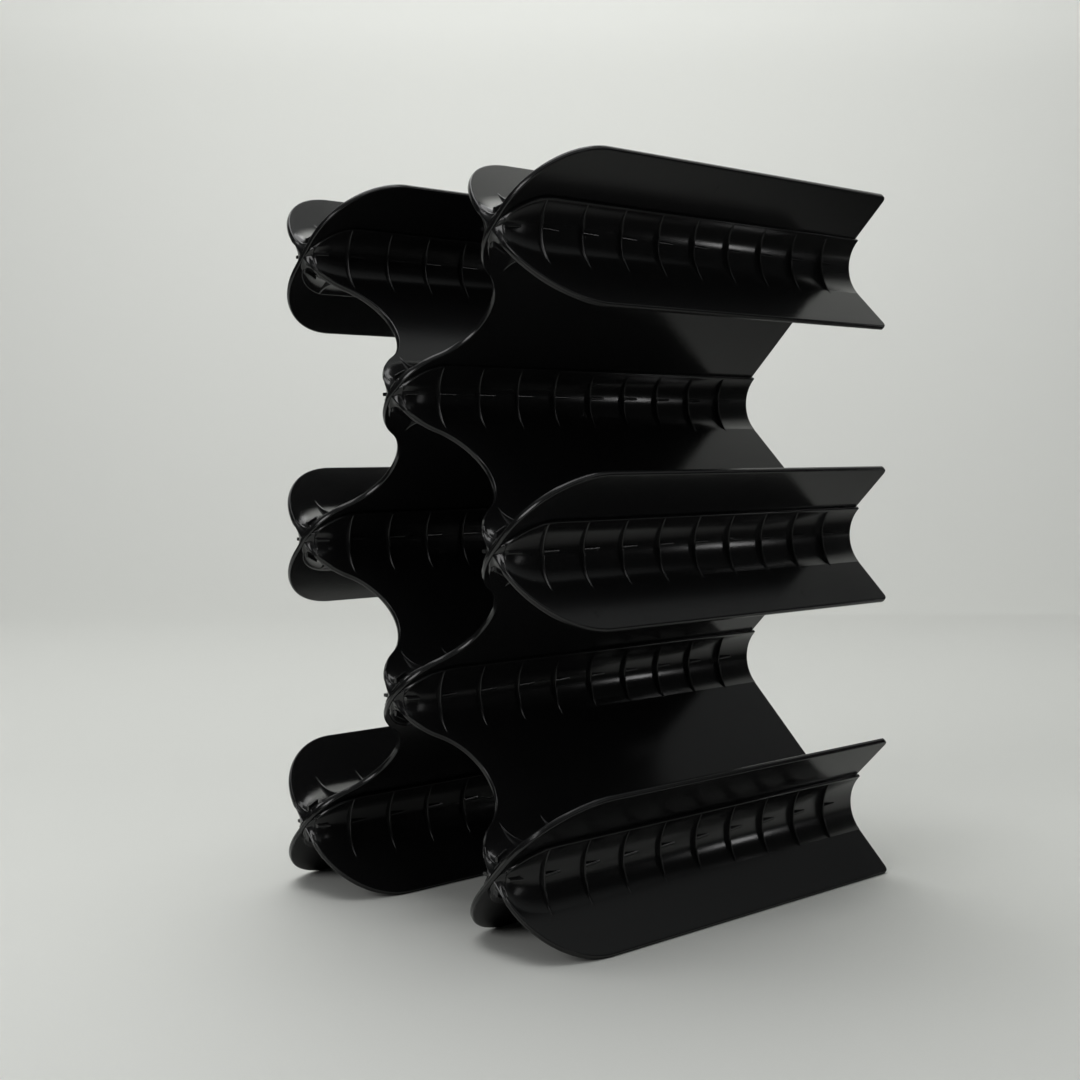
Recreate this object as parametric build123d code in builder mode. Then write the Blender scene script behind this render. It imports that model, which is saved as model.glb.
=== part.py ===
# Free-standing wine rack: a diamond lattice of eight moulded boards that slide into
# each other with cross-halving slots, like an egg crate, and need no fasteners.
#
# Axes: +X to the right, +Y to the back, +Z up. The origin is on the ground, midway
# between the sides and midway between the front and the back.
# The boards cross at eight places, laid out like the fives on a die. At each crossing
# a rising board (lower left to upper right) meets a falling board (upper left to
# lower right). The falling boards carry a hub there: four concave cradles with fins.

from build123d import *
from math import atan, degrees, hypot, sqrt
import os

os.makedirs("parts", exist_ok=True)

# ---- driving dimensions, in millimetres ---------------------------------------------
cell_pitch = 76.0            # from a crossing to the next column or the next row
depth = 262.0                # front nose to back edge
board_thickness = 3.0
slot_clearance = 0.2         # on each side of a board in its slot
edge_reach = 52.6            # along a board, from the last crossing to its free edge
free_corner_radius = 43.0    # front corner of a free edge
back_corner_radius = 3.5
valley_depth = 30.0          # how far the front edge falls back between two crossings
foot_flat_cut = 0.8          # how much of the bottom corner the foot flat takes off

cradle_radius = 21.0
wall_thickness = 1.8         # cradle walls
hub_reach = 23.0             # from the crossing to where a cradle wall ends on a board
nose_setback = 0.3           # hub front behind the front edge of the boards
nose_radius = 25.0           # rounding of the hub's front

fin_count = 9
fin_thickness = 1.2
first_fin = 20.0             # from the front nose
fin_spacing = 26.7
fin_tip_reach = 27.0         # where a fin runs out on the falling board
fin_height = 1.9             # at the middle of a cradle
ridge_length = 12.5
ridge_thickness = 1.2

overcut = 1.0                # how far a cutting shape reaches past what it cuts

# ---- derived sizes ------------------------------------------------------------------
crossing_spacing = sqrt(2) * cell_pitch
half_board = board_thickness / 2
half_slot = half_board + slot_clearance
slot_length = depth / 2      # rising boards from the back, falling boards from the front
front = -depth / 2
land_height = half_slot + wall_thickness     # cradle surface above a rising board
arc_centre = (half_board + cradle_radius, land_height + cradle_radius)
fin_crest = hypot(*arc_centre) - cradle_radius + fin_height    # from a crossing's axis
foot_reach = (edge_reach + half_board) / sqrt(2)
floor_level = 2 * cell_pitch + foot_reach - foot_flat_cut    # ground to middle crossing

# Two tangent arcs make each half of the wave in a front edge.
half_bay = crossing_spacing / 2
wave_radius = (half_bay**2 + valley_depth**2) / (4 * valley_depth)
wave_angle = degrees(2 * atan(valley_depth / half_bay))

section_plane = Plane(origin=(0, 0, 0), x_dir=(1, 0, 1), z_dir=(0, 1, 0))


def crossing(column, row):
    """The front end of a crossing's axis; column and row count in cell pitches."""
    return Vector(column * cell_pitch, front, row * cell_pitch + floor_level)


def rising_plane(column, row):
    return Plane(origin=crossing(column, row), x_dir=(1, 0, 1), z_dir=(-1, 0, 1))


def falling_plane(column, row):
    return Plane(origin=crossing(column, row), x_dir=(1, 0, -1), z_dir=(1, 0, 1))


def outline_of_board(crossings):
    """Outline in the board's plane: x along the board, y from front to back."""
    last = (crossings - 1) * crossing_spacing
    left = -edge_reach
    right = last + edge_reach
    with BuildSketch() as outline:
        with BuildLine():
            Line((left, depth), (left, free_corner_radius))
            CenterArc((left + free_corner_radius, free_corner_radius), free_corner_radius, 180, 90)
            Line((left + free_corner_radius, 0), (0, 0))
            for bay in range(crossings - 1):
                nose = bay * crossing_spacing
                valley = nose + half_bay
                next_nose = nose + crossing_spacing
                CenterArc((nose, wave_radius), wave_radius, 270, wave_angle)
                CenterArc((valley, valley_depth - wave_radius), wave_radius, 90 - wave_angle, 2 * wave_angle)
                CenterArc((next_nose, wave_radius), wave_radius, 270 - wave_angle, wave_angle)
            Line((last, 0), (right - free_corner_radius, 0))
            CenterArc((right - free_corner_radius, free_corner_radius), free_corner_radius, 270, 90)
            Line((right, free_corner_radius), (right, depth))
            Line((right, depth), (left, depth))
        make_face()
        fillet(outline.vertices().group_by(Axis.Y)[-1], back_corner_radius)
    return outline.sketch


def nose_profile(inset):
    """Half section of the hub's rounded front, to be turned about the Y axis."""
    radius = nose_radius - inset
    shoulder = nose_setback + nose_radius
    reach = hub_reach - inset
    tip = (0, shoulder - sqrt(radius**2 - (nose_radius - hub_reach) ** 2))
    with BuildSketch() as profile:
        with BuildLine():
            RadiusArc((reach, shoulder), tip, radius)
            Polyline(tip, (0, depth), (reach, depth), (reach, shoulder))
        make_face()
    return profile.sketch


# ---- hub: four cradles round one crossing, hollow behind its rounded front ----------
cavity_radius = cradle_radius + wall_thickness
cavity_tip = arc_centre[1] - sqrt(cavity_radius**2 - arc_centre[0] ** 2)

with BuildPart() as hub_cavity:
    with BuildSketch(section_plane):
        with BuildLine():
            Line((0, 0), (arc_centre[0], 0))
            Line((arc_centre[0], 0), (arc_centre[0], half_slot))
            RadiusArc((arc_centre[0], half_slot), (0, cavity_tip), cavity_radius)
            Line((0, cavity_tip), (0, 0))
        make_face()
        mirror(about=Plane.YZ)
        mirror(about=Plane.XZ)
    extrude(amount=depth)
    add(nose_profile(wall_thickness))
    revolve(axis=Axis.Y, mode=Mode.INTERSECT)

with BuildPart() as cradle_ridges:
    ridge_root = fin_crest - fin_height - wall_thickness / 2
    for index in range(fin_count):
        fin_back = first_fin + index * fin_spacing + fin_thickness
        with BuildSketch():
            with BuildLine():
                Polyline(
                    (ridge_root, fin_back - fin_thickness),
                    (fin_crest, fin_back - fin_thickness),
                    (fin_crest, fin_back),
                    (ridge_root + wall_thickness / 2, fin_back + ridge_length),
                    (ridge_root, fin_back + ridge_length),
                    close=True,
                )
            make_face()
        extrude(amount=ridge_thickness / 2, both=True)

with BuildPart() as hub:
    with BuildSketch(section_plane):
        with BuildLine():
            Line((0, 0), (hub_reach, 0))
            Line((hub_reach, 0), (hub_reach, land_height))
            Line((hub_reach, land_height), (arc_centre[0], land_height))
            RadiusArc((arc_centre[0], land_height), (half_board, arc_centre[1]), cradle_radius)
            Line((half_board, arc_centre[1]), (0, arc_centre[1]))
            Line((0, arc_centre[1]), (0, 0))
        make_face()
        mirror(about=Plane.YZ)
        mirror(about=Plane.XZ)
    extrude(amount=depth)
    add(nose_profile(0))
    revolve(axis=Axis.Y, mode=Mode.INTERSECT)
    fin_planes = [section_plane.offset(first_fin + index * fin_spacing) for index in range(fin_count)]
    with BuildSketch(*fin_planes):
        with BuildLine():
            Polyline((half_board, fin_tip_reach), (0, fin_tip_reach), (0, 0), (arc_centre[0], 0))
            Line((arc_centre[0], 0), (arc_centre[0], land_height))
            ThreePointArc(
                (arc_centre[0], land_height),
                (fin_crest / sqrt(2), fin_crest / sqrt(2)),
                (half_board, fin_tip_reach),
            )
        make_face()
        mirror(about=Plane.YZ)
        mirror(about=Plane.XZ)
    extrude(amount=fin_thickness)
    for turn in range(4):
        add(cradle_ridges.part.rotate(Axis.Y, 90 * turn))
    add(hub_cavity.part, mode=Mode.SUBTRACT)

with BuildPart() as crossing_slot:
    # The rising board passes in front; behind it, the falling board fills the middle.
    slot_width = 2 * (hub_reach + overcut)
    with BuildSketch(section_plane.offset(-overcut)):
        Rectangle(slot_width, 2 * half_slot)
    extrude(amount=overcut + slot_length)
    with BuildSketch(section_plane.offset(slot_length)):
        Rectangle(slot_width, 2 * half_slot)
        Rectangle(board_thickness, 2 * land_height, mode=Mode.SUBTRACT)
    extrude(amount=depth - slot_length + overcut)


def ground_cut():
    """The space under the rack, which cuts the foot flats off its bottom corners."""
    rack_width = 2 * (cell_pitch + foot_reach)
    with BuildPart() as below:
        with BuildSketch():
            Rectangle(rack_width + 2 * overcut, depth + 2 * overcut)
        extrude(amount=-foot_reach)
    return below.part


def write(board, name):
    board.label = name
    export_step(board, f"parts/{name}.step")


def rising_board(name, column, row, crossings):
    """Flat board, slotted from the back at each crossing; column, row: its lowest one."""
    with BuildPart() as board:
        with BuildSketch(rising_plane(column, row)):
            add(outline_of_board(crossings))
            for index in range(crossings):
                with Locations((index * crossing_spacing, depth - slot_length / 2)):
                    Rectangle(2 * half_slot, slot_length, mode=Mode.SUBTRACT)
        extrude(amount=half_board, both=True)
        add(ground_cut(), mode=Mode.SUBTRACT)
    write(board.part, name)


def falling_board(name, column, row, crossings):
    """Board with a hub at each crossing, slotted from the front; column, row: its top one."""
    hubs = [crossing(column + index, row - index) for index in range(crossings)]
    with BuildPart() as board:
        with BuildSketch(falling_plane(column, row)):
            add(outline_of_board(crossings))
        extrude(amount=half_board, both=True)
        for place in hubs:
            add(hub.part.moved(Location(place)))
        for place in hubs:
            add(crossing_slot.part.moved(Location(place)), mode=Mode.SUBTRACT)
        add(ground_cut(), mode=Mode.SUBTRACT)
    write(board.part, name)


# ---- the eight boards ----------------------------------------------------------------
rising_board("upper_rising_board", -1, 0, 3)
rising_board("lower_rising_board", -1, -2, 3)
rising_board("top_left_rising_board", -1, 2, 1)
rising_board("bottom_right_rising_board", 1, -2, 1)
falling_board("upper_falling_board", -1, 2, 3)
falling_board("lower_falling_board", -1, 0, 3)
falling_board("top_right_falling_board", 1, 2, 1)
falling_board("bottom_left_falling_board", -1, -2, 1)
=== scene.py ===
import math

import bmesh
import bpy
from mathutils import Matrix, Vector


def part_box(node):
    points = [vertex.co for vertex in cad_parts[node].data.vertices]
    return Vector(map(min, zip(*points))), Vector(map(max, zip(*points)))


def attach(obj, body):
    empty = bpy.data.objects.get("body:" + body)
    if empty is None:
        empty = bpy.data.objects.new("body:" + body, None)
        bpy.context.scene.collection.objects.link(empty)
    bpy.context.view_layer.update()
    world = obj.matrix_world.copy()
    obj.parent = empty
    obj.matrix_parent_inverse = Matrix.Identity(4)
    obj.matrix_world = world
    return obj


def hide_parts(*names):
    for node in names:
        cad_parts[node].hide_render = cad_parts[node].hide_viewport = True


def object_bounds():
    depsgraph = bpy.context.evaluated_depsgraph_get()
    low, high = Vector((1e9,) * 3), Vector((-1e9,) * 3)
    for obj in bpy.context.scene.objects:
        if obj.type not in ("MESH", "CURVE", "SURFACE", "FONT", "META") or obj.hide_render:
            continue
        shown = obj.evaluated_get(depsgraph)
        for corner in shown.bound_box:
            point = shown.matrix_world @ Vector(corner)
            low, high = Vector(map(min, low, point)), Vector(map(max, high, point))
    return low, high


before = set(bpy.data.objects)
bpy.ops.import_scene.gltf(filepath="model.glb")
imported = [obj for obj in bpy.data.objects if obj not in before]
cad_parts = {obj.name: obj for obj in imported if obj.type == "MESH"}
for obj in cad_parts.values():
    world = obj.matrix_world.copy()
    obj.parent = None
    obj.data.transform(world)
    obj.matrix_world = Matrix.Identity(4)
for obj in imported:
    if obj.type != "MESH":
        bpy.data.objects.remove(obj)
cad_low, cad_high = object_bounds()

# ---- the frame: where the boards are ---------------------------------------------------
# Board sections use coordinates in millimetres round a crossing of two boards: a runs up
# along the rising board, b runs down along the falling board, y runs from front to back.
MM = 0.001


def centre_of(node):
    low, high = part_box(node)
    return (low + high) / 2


PITCH = -centre_of("top_left_rising_board").x / MM
LEVEL = centre_of("upper_rising_board").z / MM - PITCH      # height of the middle crossings
DEPTH = (cad_high.y - cad_low.y) / MM
FRONT = cad_low.y / MM
SPACING = math.sqrt(2) * PITCH                              # between crossings, along a board

# ---- dimensions of the moulding, in millimetres ------------------------------------------
HALF_BOARD = 1.5
HALF_SLOT = 1.7
EDGE_REACH = 52.6            # from the last crossing to the free edge
FREE_RADIUS = 43.0           # front corner of a free edge
BACK_RADIUS = 3.5
VALLEY = 30.0                # how far the front edge falls back between two crossings
EDGE_ROUND = 0.6             # rounding along every edge of a board
EDGE_DRAFT = 0.08            # slope of the edge from the parting line to its rounding
GROOVE = 0.2                 # parting line along the middle of the edges
FLAT_MARGIN = 0.5            # strip beside the rounding that keeps the shading even
GROUND_GAP = 0.01            # between the foot flats and the ground

BAY_HALF = SPACING / 2
WAVE_RADIUS = (BAY_HALF**2 + VALLEY**2) / (4 * VALLEY)
WAVE_REACH = BAY_HALF / 2    # where the two arcs of the wave meet

CRADLE_RADIUS = 21.0
WALL = 1.8
LAND = HALF_SLOT + WALL      # cradle surface above a rising board
SEAM = 22.5                  # where the cradle's curve starts, from the crossing
FOOT = SEAM + 2              # where it runs out on the falling board
CRADLE_CENTRE = (HALF_BOARD + CRADLE_RADIUS, LAND + CRADLE_RADIUS)
RIM_ROUND = 0.5              # rounding where a cradle ends on the rising board
RIM_PROFILE = ((0.2, HALF_SLOT), (0.0, HALF_SLOT + 0.25), (0.0, LAND - RIM_ROUND),
               (0.07, LAND - 0.25), (0.25, LAND - 0.07))     # inside the seam, height
RUN_OUT = 0.6                # from the foot to where the wall has sunk into the board
HIDDEN = 0.12                # what lies inside the falling board stops this far off its middle
HOLLOW_START = 5.0           # the hub is solid in front of this, y behind the nose
HOLLOW_FULL = 6.5            # from here on its wall has an even thickness

NOSE_RADIUS = 25.0           # rounding of the hub's front, seen along the rising board
NOSE_OFFSET = 2.0
NOSE_END = 20.0              # from the crossing; beyond this the nose falls back no further
HUB_SETBACK = 0.12           # hub front behind the front edge of the boards
WEB_START = 2.0              # how far back the cradle's front edge is, beside the board
WEB_REACH = 15.0             # how far the front web reaches down the falling board
WEB_REACH_JOINED = 13.5      # the same where the front edge falls back in a wave
WEB_SETBACK = 0.4            # lower end of the cradle's front edge behind the board's edge
WEB_BLEND = 10.0             # depth over which the cradle's sections straighten up again
WEB_CLEARANCE = 0.5          # between a cradle's foot and the wave
WEB_ROUND = 0.8
WEB_LIP = 0.35               # narrow strip where the web meets a board
WEB_LIP_DROP = 0.25          # how far that strip slopes back

FIN_COUNT = 9
FIN_FIRST = 20.0
FIN_SPACING = 26.7
FIN_THICKNESS = 1.2
FIN_TIP = 27.0
FIN_CREST = 14.16            # from the crossing's axis
FIN_HEIGHT = 1.9             # at the middle of a cradle
FIN_ROOT_HALF = 0.68         # half width inside the cradle wall
FIN_PROFILE = ((0.45, 0.5), (0.2, 0.42), (0.05, 0.25), (0.0, 0.0))     # depth, half width
RIDGE_LENGTH = 12.5          # behind its fin
RIDGE_LEAD = 0.8             # a ridge starts this far behind the front of its fin
RIDGE_SINK = 0.1             # and ends this far under the cradle's surface
RIDGE_PROFILE = ((2.6, -0.95), (0.6, -0.85), (0.2, -0.74), (0.04, -0.55), (0.0, 0.0),
                 (0.04, 0.55), (0.2, 0.74), (0.6, 0.85), (2.6, 0.95))   # depth, half width
NOSE_RIDGE_START = 2.6
NOSE_RIDGE_END = 8.5
NOSE_RIDGE_CREST = 9.5       # at its front end, from the crossing's axis
NOSE_RIDGE_STAND = 0.1       # at its rear end, above the cradle's surface

PIP_RADIUS = 0.7             # of the moulding pips, which stand in pairs on the wings
PIP_GAP = 2.6                # from the middle of one to the middle of the other
PIP_PROFILE = ((1.0, -0.4), (1.0, 0.02), (0.85, 0.14), (0.55, 0.25),
               (0.2, 0.3))   # share of the radius, height above the board

# ---- how finely the shapes are divided ----------------------------------------------------
CORNER_STEPS = 48
WAVE_STEPS = 24
BACK_STEPS = 8
ROUND_STEPS = 4
CURVE_STEPS = 22
FIN_STEPS = 26
RIDGE_STEPS = 6
PIP_STEPS = 12
CAP_ROWS = 9
NOSE_STATIONS = (3.5, 5, 7)             # front edge of a board, from its crossing
WEB_STATIONS = (0.35, 0.7, 1.0)         # shares of the web's slope
WALL_STATIONS = (3.4, 4.4, HOLLOW_START, 5.5, 6.0, HOLLOW_FULL, 7.6, 9, 11, 13, 15.5, 18, 21, 25)
BACK_STATIONS = ((0.35, 0.0), (0.1, 0.1), (0.0, 0.35))      # from the back, trim of the wall
SHARP_ANGLE = math.radians(38)
TOLERANCE = 1e-6


# ---- mesh building ------------------------------------------------------------------------
class Shells:
    """Closed shells gathered into one mesh."""

    def __init__(self):
        self.points = []
        self.faces = []

    def add(self, points, faces):
        base = len(self.points)
        self.points += points
        self.faces += [[base + index for index in face] for face in faces]

    def loft(self, loops):
        """A closed shell through loops of equally many points, capped at both ends."""
        count = len(loops[0])
        points = [point for loop in loops for point in loop]
        faces = []
        for row in range(len(loops) - 1):
            for k in range(count):
                n = (k + 1) % count
                faces.append([row * count + k, row * count + n,
                              (row + 1) * count + n, (row + 1) * count + k])
        faces.append(list(range(count)))
        faces.append([(len(loops) - 1) * count + k for k in range(count)])
        self.add(points, faces)

    def loft_grids(self, grids):
        """As loft, but each section is a grid of points, and the end grids are the caps."""
        columns, rows = len(grids[0]), len(grids[0][0])
        rim = [(j, 0) for j in range(columns)]
        rim += [(columns - 1, r) for r in range(1, rows)]
        rim += [(j, rows - 1) for j in range(columns - 2, -1, -1)]
        rim += [(0, r) for r in range(rows - 2, 0, -1)]
        points = []
        place = []
        for index, grid in enumerate(grids):
            is_end = index in (0, len(grids) - 1)
            keys = [(j, r) for j in range(columns) for r in range(rows)] if is_end else rim
            place.append({})
            for key in keys:
                place[-1][key] = len(points)
                points.append(grid[key[0]][key[1]])
        faces = []
        for index in range(len(grids) - 1):
            this, following = place[index], place[index + 1]
            for k, key in enumerate(rim):
                after = rim[(k + 1) % len(rim)]
                faces.append([this[key], this[after], following[after], following[key]])
        for end in (place[0], place[-1]):
            for j in range(columns - 1):
                for r in range(rows - 1):
                    faces.append([end[j, r], end[j + 1, r], end[j + 1, r + 1], end[j, r + 1]])
        self.add(points, faces)


def section_to_space(x, z, a, b, y):
    """From section coordinates round the crossing at x, z to metres in the frame."""
    return ((x + (a + b) / math.sqrt(2)) * MM, (FRONT + y) * MM, (z + (a - b) / math.sqrt(2)) * MM)


def smooth_step(value):
    value = min(max(value, 0.0), 1.0)
    return value * value * (3 - 2 * value)


def mix(start, end, share):
    return start + (end - start) * share


def arc(centre, radius, start, end, steps):
    """Points on an arc, in degrees, without its first point."""
    angles = [math.radians(mix(start, end, k / steps)) for k in range(1, steps + 1)]
    return [(centre[0] + radius * math.cos(t), centre[1] + radius * math.sin(t)) for t in angles]


def inset_outline(outline, distance):
    """The outline moved inwards, with mitred corners; it runs anticlockwise."""
    moved = []
    for k, (x, y) in enumerate(outline):
        before, after = outline[k - 1], outline[(k + 1) % len(outline)]
        normals = []
        for p, q in ((before, (x, y)), ((x, y), after)):
            length = math.hypot(q[0] - p[0], q[1] - p[1])
            normals.append((-(q[1] - p[1]) / length, (q[0] - p[0]) / length))
        (ax, ay), (bx, by) = normals
        scale = distance / (1 + ax * bx + ay * by)
        moved.append((x + (ax + bx) * scale, y + (ay + by) * scale))
    return moved


def circle_through(p, q, r):
    """Centre and radius of the circle through three points."""
    d = 2 * (p[0] * (q[1] - r[1]) + q[0] * (r[1] - p[1]) + r[0] * (p[1] - q[1]))
    sp, sq, sr = (v[0] ** 2 + v[1] ** 2 for v in (p, q, r))
    x = (sp * (q[1] - r[1]) + sq * (r[1] - p[1]) + sr * (p[1] - q[1])) / d
    y = (sp * (r[0] - q[0]) + sq * (p[0] - r[0]) + sr * (q[0] - p[0])) / d
    return (x, y), math.hypot(p[0] - x, p[1] - y)


# ---- plates -------------------------------------------------------------------------------
def front_edge(distance, joined):
    """How far behind the nose a board's front edge is, at a distance from the crossing."""
    if joined:
        return WAVE_RADIUS - math.sqrt(WAVE_RADIUS**2 - distance**2)
    beyond = max(distance - (EDGE_REACH - FREE_RADIUS), 0.0)
    return FREE_RADIUS - math.sqrt(FREE_RADIUS**2 - beyond**2)


def front_points(crossings):
    """The front edge from left to right, without its slots."""
    last = (crossings - 1) * SPACING
    left, right = -EDGE_REACH, last + EDGE_REACH
    wave_angle = math.degrees(2 * math.atan(VALLEY / BAY_HALF))
    points = [(left, FREE_RADIUS)]
    points += arc((left + FREE_RADIUS, FREE_RADIUS), FREE_RADIUS, 180, 270, CORNER_STEPS)
    points += [(-x, 0.0) for x in reversed(NOSE_STATIONS)]
    points.append((0, 0.0))
    for bay in range(crossings - 1):
        nose = (bay * SPACING, WAVE_RADIUS)
        valley = (bay * SPACING + BAY_HALF, VALLEY - WAVE_RADIUS)
        next_nose = (bay * SPACING + SPACING, WAVE_RADIUS)
        points += arc(nose, WAVE_RADIUS, 270, 270 + wave_angle, WAVE_STEPS)
        points += arc(valley, WAVE_RADIUS, 90 + wave_angle, 90 - wave_angle, 2 * WAVE_STEPS)
        points += arc(next_nose, WAVE_RADIUS, 270 - wave_angle, 270, WAVE_STEPS)
    points += [(last + x, 0.0) for x in NOSE_STATIONS]
    points.append((right - FREE_RADIUS, 0.0))
    points += arc((right - FREE_RADIUS, FREE_RADIUS), FREE_RADIUS, 270, 360, CORNER_STEPS)
    return points


def slotted_front(crossings):
    """The front edge of a falling board: set back under the webs, with a slot at each nose."""
    web_hidden, web_end, set_back, slot_mouth = 9.0, 13.0, 0.8, 2.0
    noses = [i * SPACING for i in range(crossings)]
    slotted = []
    for x, y in front_points(crossings):
        nose = min(noses, key=lambda place: abs(x - place))
        distance = abs(x - nose)
        y += set_back * smooth_step((web_end - distance) / (web_end - web_hidden))
        if distance < TOLERANCE:
            slotted += [(nose - HALF_SLOT, y), (nose - HALF_SLOT, DEPTH / 2),
                        (nose + HALF_SLOT, DEPTH / 2), (nose + HALF_SLOT, y)]
        elif distance >= slot_mouth:
            slotted.append((x, y))
    return slotted


def board_outline(crossings, slot_from_front):
    left, right = -EDGE_REACH, (crossings - 1) * SPACING + EDGE_REACH
    front = slotted_front(crossings) if slot_from_front else front_points(crossings)
    back = [(right, DEPTH - BACK_RADIUS)]
    back += arc((right - BACK_RADIUS, DEPTH - BACK_RADIUS), BACK_RADIUS, 0, 90, BACK_STEPS)
    if not slot_from_front:
        for i in reversed(range(crossings)):
            middle = i * SPACING
            back += [(middle + HALF_SLOT, DEPTH), (middle + HALF_SLOT, DEPTH / 2),
                     (middle - HALF_SLOT, DEPTH / 2), (middle - HALF_SLOT, DEPTH)]
    back.append((left + BACK_RADIUS, DEPTH))
    back += arc((left + BACK_RADIUS, DEPTH - BACK_RADIUS), BACK_RADIUS, 90, 180, BACK_STEPS)
    return front + back


def add_plate(shells, crossings, slot_from_front, to_space):
    """A board of even thickness, with rounded edges and a parting line along their middle."""
    outline = board_outline(crossings, slot_from_front)
    half = [(0.0, GROOVE), (GROOVE / 2, 0.0)]
    for k in range(ROUND_STEPS + 1):
        t = math.radians(90 * k / ROUND_STEPS)
        half.append((HALF_BOARD - EDGE_ROUND * (1 - math.sin(t)),
                     EDGE_DRAFT + EDGE_ROUND * (1 - math.cos(t))))
    half.append((HALF_BOARD, EDGE_DRAFT + EDGE_ROUND + FLAT_MARGIN))
    levels = [(-height, inset) for height, inset in reversed(half[1:])] + half
    loops = []
    for height, inset in levels:
        loop = inset_outline(outline, inset)
        loops.append([to_space(u, height, y) for u, y in loop])
    shells.loft(loops)


def add_pip_pair(shells, along, y, to_space):
    """Two small domes left by the moulding tool, on the side of a board that faces +height."""
    for shift in (-PIP_GAP / 2, PIP_GAP / 2):
        loops = []
        for share, rise in PIP_PROFILE:
            loop = []
            for k in range(PIP_STEPS):
                t = 2 * math.pi * k / PIP_STEPS
                loop.append(to_space(along + shift + PIP_RADIUS * share * math.cos(t),
                                     HALF_BOARD + rise, y + PIP_RADIUS * share * math.sin(t)))
            loops.append(loop)
        shells.loft(loops)


# ---- hubs ---------------------------------------------------------------------------------
def seam_reach(y):
    """How far the cradle wall reaches along the rising board, y behind the nose."""
    behind = min(y, NOSE_RADIUS)
    return math.sqrt(NOSE_RADIUS**2 - (NOSE_RADIUS - behind) ** 2) - NOSE_OFFSET


def nose_height(a):
    """How far the nose has fallen back at a distance along the rising board."""
    return NOSE_RADIUS - math.sqrt(NOSE_RADIUS**2 - (min(a, NOSE_END) + NOSE_OFFSET) ** 2)


def cradle_curve(start, control, end):
    """Points on a conic, which for equal legs is a quarter circle."""
    weight = math.sqrt(0.5)
    points = []
    for k in range(CURVE_STEPS + 1):
        t = k / CURVE_STEPS
        parts = ((1 - t) ** 2, 2 * weight * t * (1 - t), t * t)
        total = sum(parts)
        points.append(tuple(sum(p * c[i] for p, c in zip(parts, (start, control, end))) / total
                            for i in (0, 1)))
    return points


def solid_inside(count, seam, foot):
    """The L-shaped path beside the rising board's slot and the falling board's middle."""
    slot_share = 0.4
    path = []
    for j in range(count):
        share = j / (count - 1)
        if share < slot_share:
            path.append((mix(seam - RIM_ROUND, HIDDEN, share / slot_share), HALF_SLOT))
        else:
            down = (share - slot_share) / (1 - slot_share)
            path.append((HIDDEN, mix(HALF_SLOT, foot, down)))
    return path


def hollow_inside(outer, seam):
    """The path a wall's thickness inside the outer points."""
    rim_count, rim_start, rim_step = len(RIM_PROFILE), 0.3, 0.06
    path = []
    for j, (a, b) in enumerate(outer):
        if j < rim_count:
            path.append((seam - rim_start - rim_step * j, HALF_SLOT))
            continue
        k = min(max(j, rim_count + 1), len(outer) - 3)
        (x0, y0), (x1, y1) = outer[k - 1], outer[k + 1]
        length = math.hypot(x1 - x0, y1 - y0)
        inward = ((y1 - y0) / length, -(x1 - x0) / length)
        if inward[0] + inward[1] > 0:
            inward = (-inward[0], -inward[1])
        path.append((max(a + WALL * inward[0], HIDDEN), max(b + WALL * inward[1], HALF_SLOT)))
    return path


def hub_section(y, joined):
    """Outer points of a cradle wall's section, as (a, b, y), and its inner points."""
    web_reach = WEB_REACH_JOINED if joined else WEB_REACH
    start_shift = front_edge(web_reach, joined) + WEB_SETBACK - WEB_START
    shift = start_shift * max(1 - (y - WEB_START) / WEB_BLEND, 0.0)
    board_y = y + shift
    grown = min((y - WEB_START) / (NOSE_RADIUS - WEB_START), 1.0)
    foot = web_reach + (FOOT - web_reach) * math.sqrt(1 - (1 - grown) ** 2)
    if joined and board_y < WAVE_REACH / 2:
        wave = math.sqrt(WAVE_RADIUS**2 - (WAVE_RADIUS - board_y) ** 2)
        foot = min(foot, wave - WEB_CLEARANCE)
    seam = seam_reach(y)
    outer = [(seam - inside, height) for inside, height in RIM_PROFILE]
    outer += cradle_curve((seam - RIM_ROUND, LAND), (HALF_BOARD, LAND), (HALF_BOARD, foot))
    outer.append((HIDDEN, foot + RUN_OUT))
    count = len(outer)
    solid, hollow = solid_inside(count, seam, foot), hollow_inside(outer, seam)
    share = smooth_step((y - HOLLOW_START) / (HOLLOW_FULL - HOLLOW_START))
    inner = [(mix(s[0], h[0], share), mix(s[1], h[1], share)) for s, h in zip(solid, hollow)]
    back = [y + shift * (j / (count - 1)) ** 2 for j in range(count)]
    return ([(a, b, z) for (a, b), z in zip(outer, back)],
            [(a, b, z) for (a, b), z in zip(inner, back)])


def hub_front(joined):
    """The rounded web between the cradle's front edge and the boards, as a grid."""
    outer, inner = hub_section(WEB_START, joined)
    widest_lip, bend_power = 0.2, 1.5
    grid = []
    for (oa, ob, oy), (ia, ib, _) in zip(outer, inner):
        span = math.hypot(ia - oa, ib - ob)
        rounding = min(WEB_ROUND, span / 3)
        on_slot = ib < HALF_SLOT + TOLERANCE
        crest = nose_height(ia) if on_slot else front_edge(ib, joined) + HUB_SETBACK
        crest = max(crest, HUB_SETBACK)
        column = [(oa, ob, oy + rounding)]
        for k in range(1, ROUND_STEPS + 1):
            t = math.radians(90 * k / ROUND_STEPS)
            share = rounding * (1 - math.cos(t)) / span
            column.append((mix(oa, ia, share), mix(ob, ib, share), oy + rounding * (1 - math.sin(t))))
        slope_start = rounding / span
        slope_end = 1 - min(WEB_LIP / span, widest_lip)
        for station in WEB_STATIONS:
            share = mix(slope_start, slope_end, station)
            bend = 1 - (1 - station) ** bend_power
            column.append((mix(oa, ia, share), mix(ob, ib, share), mix(oy, crest, bend)))
        column.append((ia, ib, crest + WEB_LIP_DROP))
        grid.append(column)
    return grid


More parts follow.
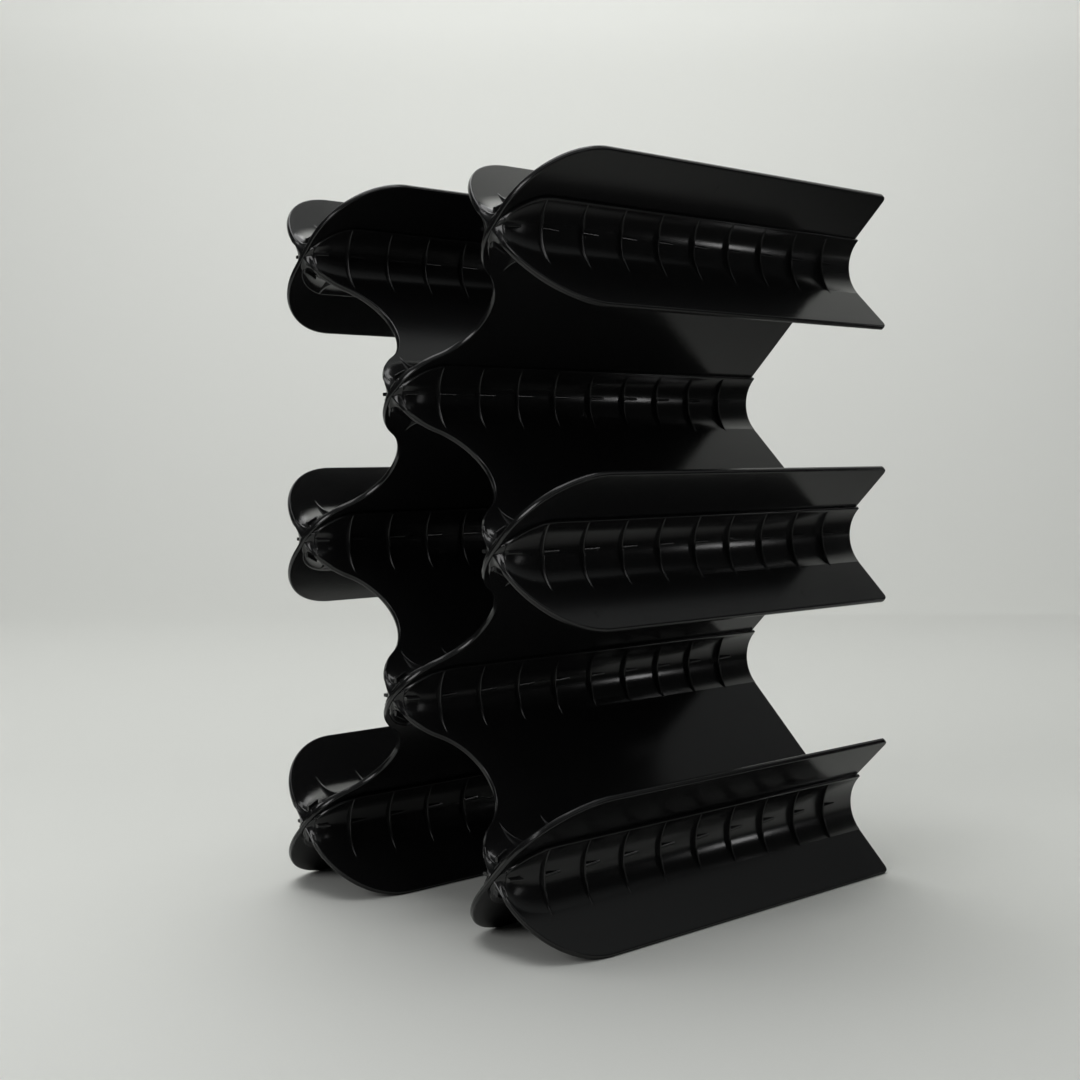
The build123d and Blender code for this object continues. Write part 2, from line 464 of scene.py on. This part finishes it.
def section_grid(y, joined, trim=0.0):
    """A cradle wall's section as a grid from outside to inside, less the trim on both sides."""
    largest_trim = 0.4
    outer, inner = hub_section(y, joined)
    grid = []
    for (oa, ob, oy), (ia, ib, iy) in zip(outer, inner):
        span = max(math.hypot(ia - oa, ib - ob), TOLERANCE)
        lead = min(trim / span, largest_trim)
        column = []
        for r in range(CAP_ROWS):
            s = mix(lead, 1 - lead, r / (CAP_ROWS - 1))
            column.append((mix(oa, ia, s), mix(ob, ib, s), mix(oy, iy, s)))
        grid.append(column)
    return grid


def add_cradle_wall(shells, joined, place):
    grids = [hub_front(joined)]
    grids += [section_grid(y, joined) for y in WALL_STATIONS]
    grids += [section_grid(DEPTH - from_back, joined, trim) for from_back, trim in BACK_STATIONS]
    shells.loft_grids([[[place(*p) for p in column] for column in grid] for grid in grids])


FIN_TOP = (SEAM - 0.4, LAND + 0.05)     # just inside the seam, just above the surface
FIN_FOOT = (HALF_BOARD, FIN_TIP)
FIN_MIDDLE = (FIN_CREST / math.sqrt(2), FIN_CREST / math.sqrt(2))
FIN_CENTRE, FIN_RADIUS = circle_through(FIN_TOP, FIN_MIDDLE, FIN_FOOT)


def fin_edge(t):
    """A point on a fin's free edge, from the seam (0) to the falling board (1)."""
    start = math.atan2(FIN_TOP[1] - FIN_CENTRE[1], FIN_TOP[0] - FIN_CENTRE[0])
    end = math.atan2(FIN_FOOT[1] - FIN_CENTRE[1], FIN_FOOT[0] - FIN_CENTRE[0])
    if end > start:
        end -= 2 * math.pi
    angle = mix(start, end, t)
    return (FIN_CENTRE[0] + FIN_RADIUS * math.cos(angle), FIN_CENTRE[1] + FIN_RADIUS * math.sin(angle))


def add_fin(shells, y, place):
    """A crescent from the middle of the cradle wall to the fin's free edge."""
    middle = y + FIN_THICKNESS / 2
    root_radius = CRADLE_RADIUS + WALL / 2
    loops = []
    for k in range(FIN_STEPS + 1):
        t = k / FIN_STEPS
        angle = math.radians(-90 - 90 * t)
        root = (CRADLE_CENTRE[0] + root_radius * math.cos(angle),
                CRADLE_CENTRE[1] + root_radius * math.sin(angle))
        tip = fin_edge(t)
        length = math.hypot(tip[0] - root[0], tip[1] - root[1])
        profile = [(1.0, FIN_ROOT_HALF)]
        profile += [(min(depth / length, 1.0), half) for depth, half in FIN_PROFILE]
        sides = [(share, -half) for share, half in profile]
        sides += [(share, half) for share, half in reversed(profile[:-1])]
        loops.append([place(mix(tip[0], root[0], share), mix(tip[1], root[1], share), middle + offset)
                      for share, offset in sides])
    shells.loft(loops)


def add_ridge(shells, start, end, height_start, height_end, place):
    """A low rib along the bottom of a cradle; the heights are from the crossing's axis."""
    loops = []
    for k in range(RIDGE_STEPS + 1):
        y = mix(start, end, k / RIDGE_STEPS)
        top = mix(height_start, height_end, k / RIDGE_STEPS)
        loop = []
        for drop, half in RIDGE_PROFILE:
            along = (top - drop) / math.sqrt(2)
            across = half / math.sqrt(2)
            loop.append(place(along + across, along - across, y))
        loops.append(loop)
    shells.loft(loops)


def add_hub(shells, x, z, joined_up, joined_down):
    """Four cradle walls with their fins and ridges round one crossing."""
    surface = FIN_CREST - FIN_HEIGHT
    ridge_foot = surface - RIDGE_SINK
    nose_ridge_foot = surface + NOSE_RIDGE_STAND
    for a_side in (1, -1):
        for b_side in (1, -1):
            joined = joined_down if b_side > 0 else joined_up

            def place(a, b, y):
                return section_to_space(x, z, a * a_side, b * b_side, y)

            add_cradle_wall(shells, joined, place)
            for k in range(FIN_COUNT):
                y = FIN_FIRST + k * FIN_SPACING
                ridge_end = y + FIN_THICKNESS + RIDGE_LENGTH
                add_fin(shells, y, place)
                add_ridge(shells, y + RIDGE_LEAD, ridge_end, FIN_CREST, ridge_foot, place)
            add_ridge(shells, NOSE_RIDGE_START, NOSE_RIDGE_END, NOSE_RIDGE_CREST, nose_ridge_foot, place)


# ---- boards -------------------------------------------------------------------------------
# Each board: its node, the column and the row of its leftmost crossing in pitches, how many
# crossings it has, and its pairs of pips: beyond its last crossing, and behind the nose.
RISING_BOARDS = (
    ("upper_rising_board", -1, 0, 3, [(40, 127)]),
    ("lower_rising_board", -1, -2, 3, []),
    ("top_left_rising_board", -1, 2, 1, []),
    ("bottom_right_rising_board", 1, -2, 1, []),
)
FALLING_BOARDS = (
    ("upper_falling_board", -1, 2, 3, [(43, 38), (43, 194)]),
    ("lower_falling_board", -1, 0, 3, [(43, 194)]),
    ("top_right_falling_board", 1, 2, 1, [(30, 197)]),
    ("bottom_left_falling_board", -1, -2, 1, []),
)


def crossing_at(column, row):
    return column * PITCH, row * PITCH + LEVEL


def cut_at_ground(mesh_edit):
    """The foot flats: nothing reaches below the ground."""
    ground = cad_low.z + GROUND_GAP * MM
    geometry = mesh_edit.verts[:] + mesh_edit.edges[:] + mesh_edit.faces[:]
    bmesh.ops.bisect_plane(mesh_edit, geom=geometry, plane_co=(0, 0, ground), plane_no=(0, 0, 1),
                           clear_inner=True)
    open_edges = [edge for edge in mesh_edit.edges if edge.is_boundary]
    if open_edges:
        bmesh.ops.holes_fill(mesh_edit, edges=open_edges, sides=0)


def finish_piece(shells, name, node, material):
    mesh = bpy.data.meshes.new(name)
    mesh.from_pydata(shells.points, [], shells.faces)
    mesh_edit = bmesh.new()
    mesh_edit.from_mesh(mesh)
    cut_at_ground(mesh_edit)
    bmesh.ops.recalc_face_normals(mesh_edit, faces=mesh_edit.faces)
    mesh_edit.to_mesh(mesh)
    mesh_edit.free()
    mesh.polygons.foreach_set("use_smooth", [True] * len(mesh.polygons))
    mesh.set_sharp_from_angle(angle=SHARP_ANGLE)
    mesh.materials.append(material)
    piece = bpy.data.objects.new(name, mesh)
    bpy.context.scene.collection.objects.link(piece)
    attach(piece, "root")
    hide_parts(node)


def make_board(node, column, row, crossings, pips, rising, material):
    """A plate, slotted from the back if it rises; if it falls, with a hub at each crossing."""
    x, z = crossing_at(column, row)
    shells = Shells()

    def to_space(u, height, y):
        a, b = (u, height) if rising else (height, u)
        return section_to_space(x, z, a, b, y)

    add_plate(shells, crossings, not rising, to_space)
    for reach, y in pips:
        add_pip_pair(shells, (crossings - 1) * SPACING + reach, y, to_space)
    if not rising:
        for i in range(crossings):
            hub_x, hub_z = crossing_at(column + i, row - i)
            add_hub(shells, hub_x, hub_z, i > 0, i < crossings - 1)
    finish_piece(shells, node + "_moulding", node, material)


# ---- materials ----------------------------------------------------------------------------
def node_material(name):
    material = bpy.data.materials.new(name)
    material.use_nodes = True
    tree = material.node_tree
    return material, tree, tree.nodes["Principled BSDF"]


def coordinates(tree, kind):
    return tree.nodes.new("ShaderNodeTexCoord").outputs[kind]


def separated(tree, vector):
    """The X, Y and Z of a vector."""
    node = tree.nodes.new("ShaderNodeSeparateXYZ")
    tree.links.new(vector, node.inputs["Vector"])
    return node.outputs


def noise_texture(tree, vector, scale, detail):
    node = tree.nodes.new("ShaderNodeTexNoise")
    node.inputs["Scale"].default_value = scale
    node.inputs["Detail"].default_value = detail
    tree.links.new(vector, node.inputs["Vector"])
    return node.outputs["Fac"]


def remap(tree, value, source, result):
    """The value moved from the source range to the result range, and kept inside it."""
    node = tree.nodes.new("ShaderNodeMapRange")
    node.inputs["From Min"].default_value = source[0]
    node.inputs["From Max"].default_value = source[1]
    node.inputs["To Min"].default_value = result[0]
    node.inputs["To Max"].default_value = result[1]
    tree.links.new(value, node.inputs["Value"])
    return node.outputs["Result"]


def sum_of(tree, first, second):
    node = tree.nodes.new("ShaderNodeMath")
    node.operation = "ADD"
    tree.links.new(first, node.inputs[0])
    tree.links.new(second, node.inputs[1])
    return node.outputs["Value"]


def bump(tree, height, strength, distance, normal=None):
    node = tree.nodes.new("ShaderNodeBump")
    node.inputs["Strength"].default_value = strength
    node.inputs["Distance"].default_value = distance
    tree.links.new(height, node.inputs["Height"])
    if normal is not None:
        tree.links.new(normal, node.inputs["Normal"])
    return node.outputs["Normal"]


def colour_by_tone(tree, shader, tone):
    """The shader's colour: from black at tone 0 to a warm white at tone 1."""
    shade = tree.nodes.new("ShaderNodeMix")
    shade.data_type = "RGBA"
    shade.inputs["A"].default_value = (0.0, 0.0, 0.0, 1)
    shade.inputs["B"].default_value = (0.99, 1.0, 0.96, 1)
    tree.links.new(tone, shade.inputs["Factor"])
    tree.links.new(shade.outputs["Result"], shader.inputs["Base Color"])


def black_plastic():
    """Injection-moulded black plastic: satin gloss, faint flow marks and fine grain."""
    material, tree, shader = node_material("black_plastic")
    place = coordinates(tree, "Object")
    cloud = noise_texture(tree, place, scale=14.0, detail=3.0)
    grain = noise_texture(tree, place, scale=1800.0, detail=2.0)
    warp = noise_texture(tree, place, scale=9.0, detail=1.0)
    roughness = remap(tree, cloud, source=(0.3, 0.7), result=(0.15, 0.19))
    rough_skin = bump(tree, grain, strength=0.06, distance=0.0002)
    skin = bump(tree, warp, strength=0.25, distance=0.0012, normal=rough_skin)
    tree.links.new(roughness, shader.inputs["Roughness"])
    tree.links.new(skin, shader.inputs["Normal"])
    shader.inputs["Base Color"].default_value = (0.007, 0.007, 0.0073, 1)
    shader.inputs["IOR"].default_value = 1.42
    return material


def backdrop_paper():
    """Pale paper with painted shade darkening the floor behind the rack and painted light making it
    paler up the wall.
    """
    material, tree, shader = node_material("backdrop_paper")
    place = coordinates(tree, "Object")
    parts = separated(tree, place)
    fibre = noise_texture(tree, place, scale=700.0, detail=3.0)
    # painted shade along the floor away from the rack, and painted light up the wall; only the fibre
    # tone is the paper's own
    floor_painted_shade = remap(tree, parts["Y"], source=(0.0, 1.4), result=(0.76, 0.6))
    wall_painted_light = remap(tree, parts["Z"], source=(0.0, 1.1), result=(0.0, 0.34))
    fibre_tone = remap(tree, fibre, source=(0.0, 1.0), result=(-0.01, 0.01))
    tone = sum_of(tree, sum_of(tree, floor_painted_shade, wall_painted_light), fibre_tone)
    colour_by_tone(tree, shader, tone)
    skin = bump(tree, fibre, strength=0.1, distance=0.0002)
    tree.links.new(skin, shader.inputs["Normal"])
    shader.inputs["Roughness"].default_value = 0.75
    shader.inputs["Specular IOR Level"].default_value = 0.2
    return material


def painted_shade_card():
    """Matt card of painted shade, seen only in reflections: pale near the rack and darker away from it.
    """
    material, tree, shader = node_material("painted_shade_card")
    parts = separated(tree, coordinates(tree, "Object"))
    # painted shade: the tone falls from 0.58 near the rack to 0.02 away from it, standing in for the
    # shaded floor seen in reflections
    colour_by_tone(tree, shader, remap(tree, parts["X"], source=(0.1, 0.65), result=(0.58, 0.02)))
    shader.inputs["Roughness"].default_value = 0.9
    shader.inputs["Specular IOR Level"].default_value = 0.0
    return material


# ---- camera, stage and lights -----------------------------------------------------------
VIEW_AZIMUTH = math.radians(46.9)
VIEW_TILT = math.radians(0.03)
VIEW_ROLL = math.radians(-0.19)
CAMERA_PLACE = (0.6498, -0.6365, 0.2379)
LENS = 54.6                  # for a sensor of 36 mm
LENS_SHIFT = -0.084
FORWARD = Vector((-math.sin(VIEW_AZIMUTH), math.cos(VIEW_AZIMUTH), 0))
RIGHT = Vector((math.cos(VIEW_AZIMUTH), math.sin(VIEW_AZIMUTH), 0))
UP = Vector((0, 0, 1))

# Each light: its name, its place, its target, its width and height, and its power in watts.
# Places are in metres: to the right in the view, forward along it, and up.
RACK_MIDDLE = (0, 0, 0.19)
LIGHTS = (
    ("overhead", (-0.3, 0.3, 2.2), RACK_MIDDLE, (1.8, 1.8), 24.5),
    ("front_left", (-1.6, -1.5, 1.1), RACK_MIDDLE, (0.9, 0.9), 12),
    ("side", (1.9, 0.4, 0.2), RACK_MIDDLE, (0.14, 0.16), 0.45),
    ("front_right", (1.7, -1.3, 0.7), RACK_MIDDLE, (0.35, 0.8), 0.9),
    ("backdrop_wash", (0.0, 0.9, 3.0), (0.0, 2.4, 2.7), (2.8, 0.8), 58),
)


def make_camera():
    data = bpy.data.cameras.new("camera")
    data.sensor_width = 36.0
    data.lens = LENS
    data.shift_y = LENS_SHIFT
    data.clip_start, data.clip_end = 0.01, 50.0
    camera = bpy.data.objects.new("camera", data)
    bpy.context.scene.collection.objects.link(camera)
    line_of_sight = FORWARD * math.cos(VIEW_TILT) - UP * math.sin(VIEW_TILT)
    raised = RIGHT.cross(line_of_sight)
    across = RIGHT * math.cos(VIEW_ROLL) + raised * math.sin(VIEW_ROLL)
    upward = raised * math.cos(VIEW_ROLL) - RIGHT * math.sin(VIEW_ROLL)
    turn = Matrix((across, upward, -line_of_sight)).transposed().to_4x4()
    camera.matrix_world = Matrix.Translation(CAMERA_PLACE) @ turn
    bpy.context.scene.camera = camera


def view_sheet(name, points, faces, material):
    """A sheet from points to the right in the view, forward along it, and up."""
    mesh = bpy.data.meshes.new(name)
    mesh.from_pydata(points, [], faces)
    mesh.polygons.foreach_set("use_smooth", [True] * len(mesh.polygons))
    mesh.materials.append(material)
    sheet = bpy.data.objects.new(name, mesh)
    sheet.rotation_euler = (0, 0, VIEW_AZIMUTH)
    bpy.context.scene.collection.objects.link(sheet)
    return sheet


def make_backdrop():
    """A floor that curves up into a wall behind the rack."""
    front, back, bend, top, half_width, bend_steps = -3.0, 2.4, 1.0, 4.0, 3.2, 32
    profile = [(front, 0.0), (back - bend, 0.0)]
    profile += arc((back - bend, bend), bend, 270, 360, bend_steps)
    profile.append((back, top))
    points = [(side * half_width, y, z) for y, z in profile for side in (-1, 1)]
    faces = [[2 * k, 2 * k + 1, 2 * k + 3, 2 * k + 2] for k in range(len(profile) - 1)]
    backdrop = view_sheet("backdrop", points, faces, backdrop_paper())


def make_painted_shade_card():
    """A sheet of painted shade beside the rack that only reflections see: it keeps the cradles'
    reflections dark.
    """
    near, far, inner, outer, height = -1.4, 1.6, 0.12, 3.2, 0.0003
    corners = [(inner, near), (outer, near), (outer, far), (inner, far)]
    points = [(x, y, height) for x, y in corners]
    card = view_sheet("painted_shade_card", points, [[0, 1, 2, 3]], painted_shade_card())
    card.visible_camera = False
    card.visible_diffuse = False
    card.visible_shadow = False


def stage_point(right, forward, up):
    return RIGHT * right + FORWARD * forward + UP * up


def make_light(name, place, target, size, power):
    data = bpy.data.lights.new(name, "AREA")
    data.shape = "RECTANGLE"
    data.size, data.size_y = size
    data.energy = power
    light = bpy.data.objects.new(name, data)
    bpy.context.scene.collection.objects.link(light)
    light.location = stage_point(*place)
    light.rotation_mode = "QUATERNION"
    direction = stage_point(*target) - stage_point(*place)
    light.rotation_quaternion = direction.to_track_quat("-Z", "Y")


def make_world():
    """The studio is dark at the height of the rack and paler towards its ceiling."""
    world = bpy.data.worlds.new("studio")
    world.use_nodes = True
    tree = world.node_tree
    background = tree.nodes["Background"]
    background.inputs["Color"].default_value = (0.9, 0.93, 0.92, 1)
    parts = separated(tree, coordinates(tree, "Generated"))
    strength = remap(tree, parts["Z"], source=(0.45, 0.9), result=(0.02, 0.45))
    tree.links.new(strength, background.inputs["Strength"])
    bpy.context.scene.world = world
    bpy.context.scene.view_settings.view_transform = "Standard"


# ---- build --------------------------------------------------------------------------------
make_camera()
make_backdrop()
make_painted_shade_card()
for light_values in LIGHTS:
    make_light(*light_values)
make_world()
plastic = black_plastic()
for board in RISING_BOARDS:
    make_board(*board, rising=True, material=plastic)
for board in FALLING_BOARDS:
    make_board(*board, rising=False, material=plastic)
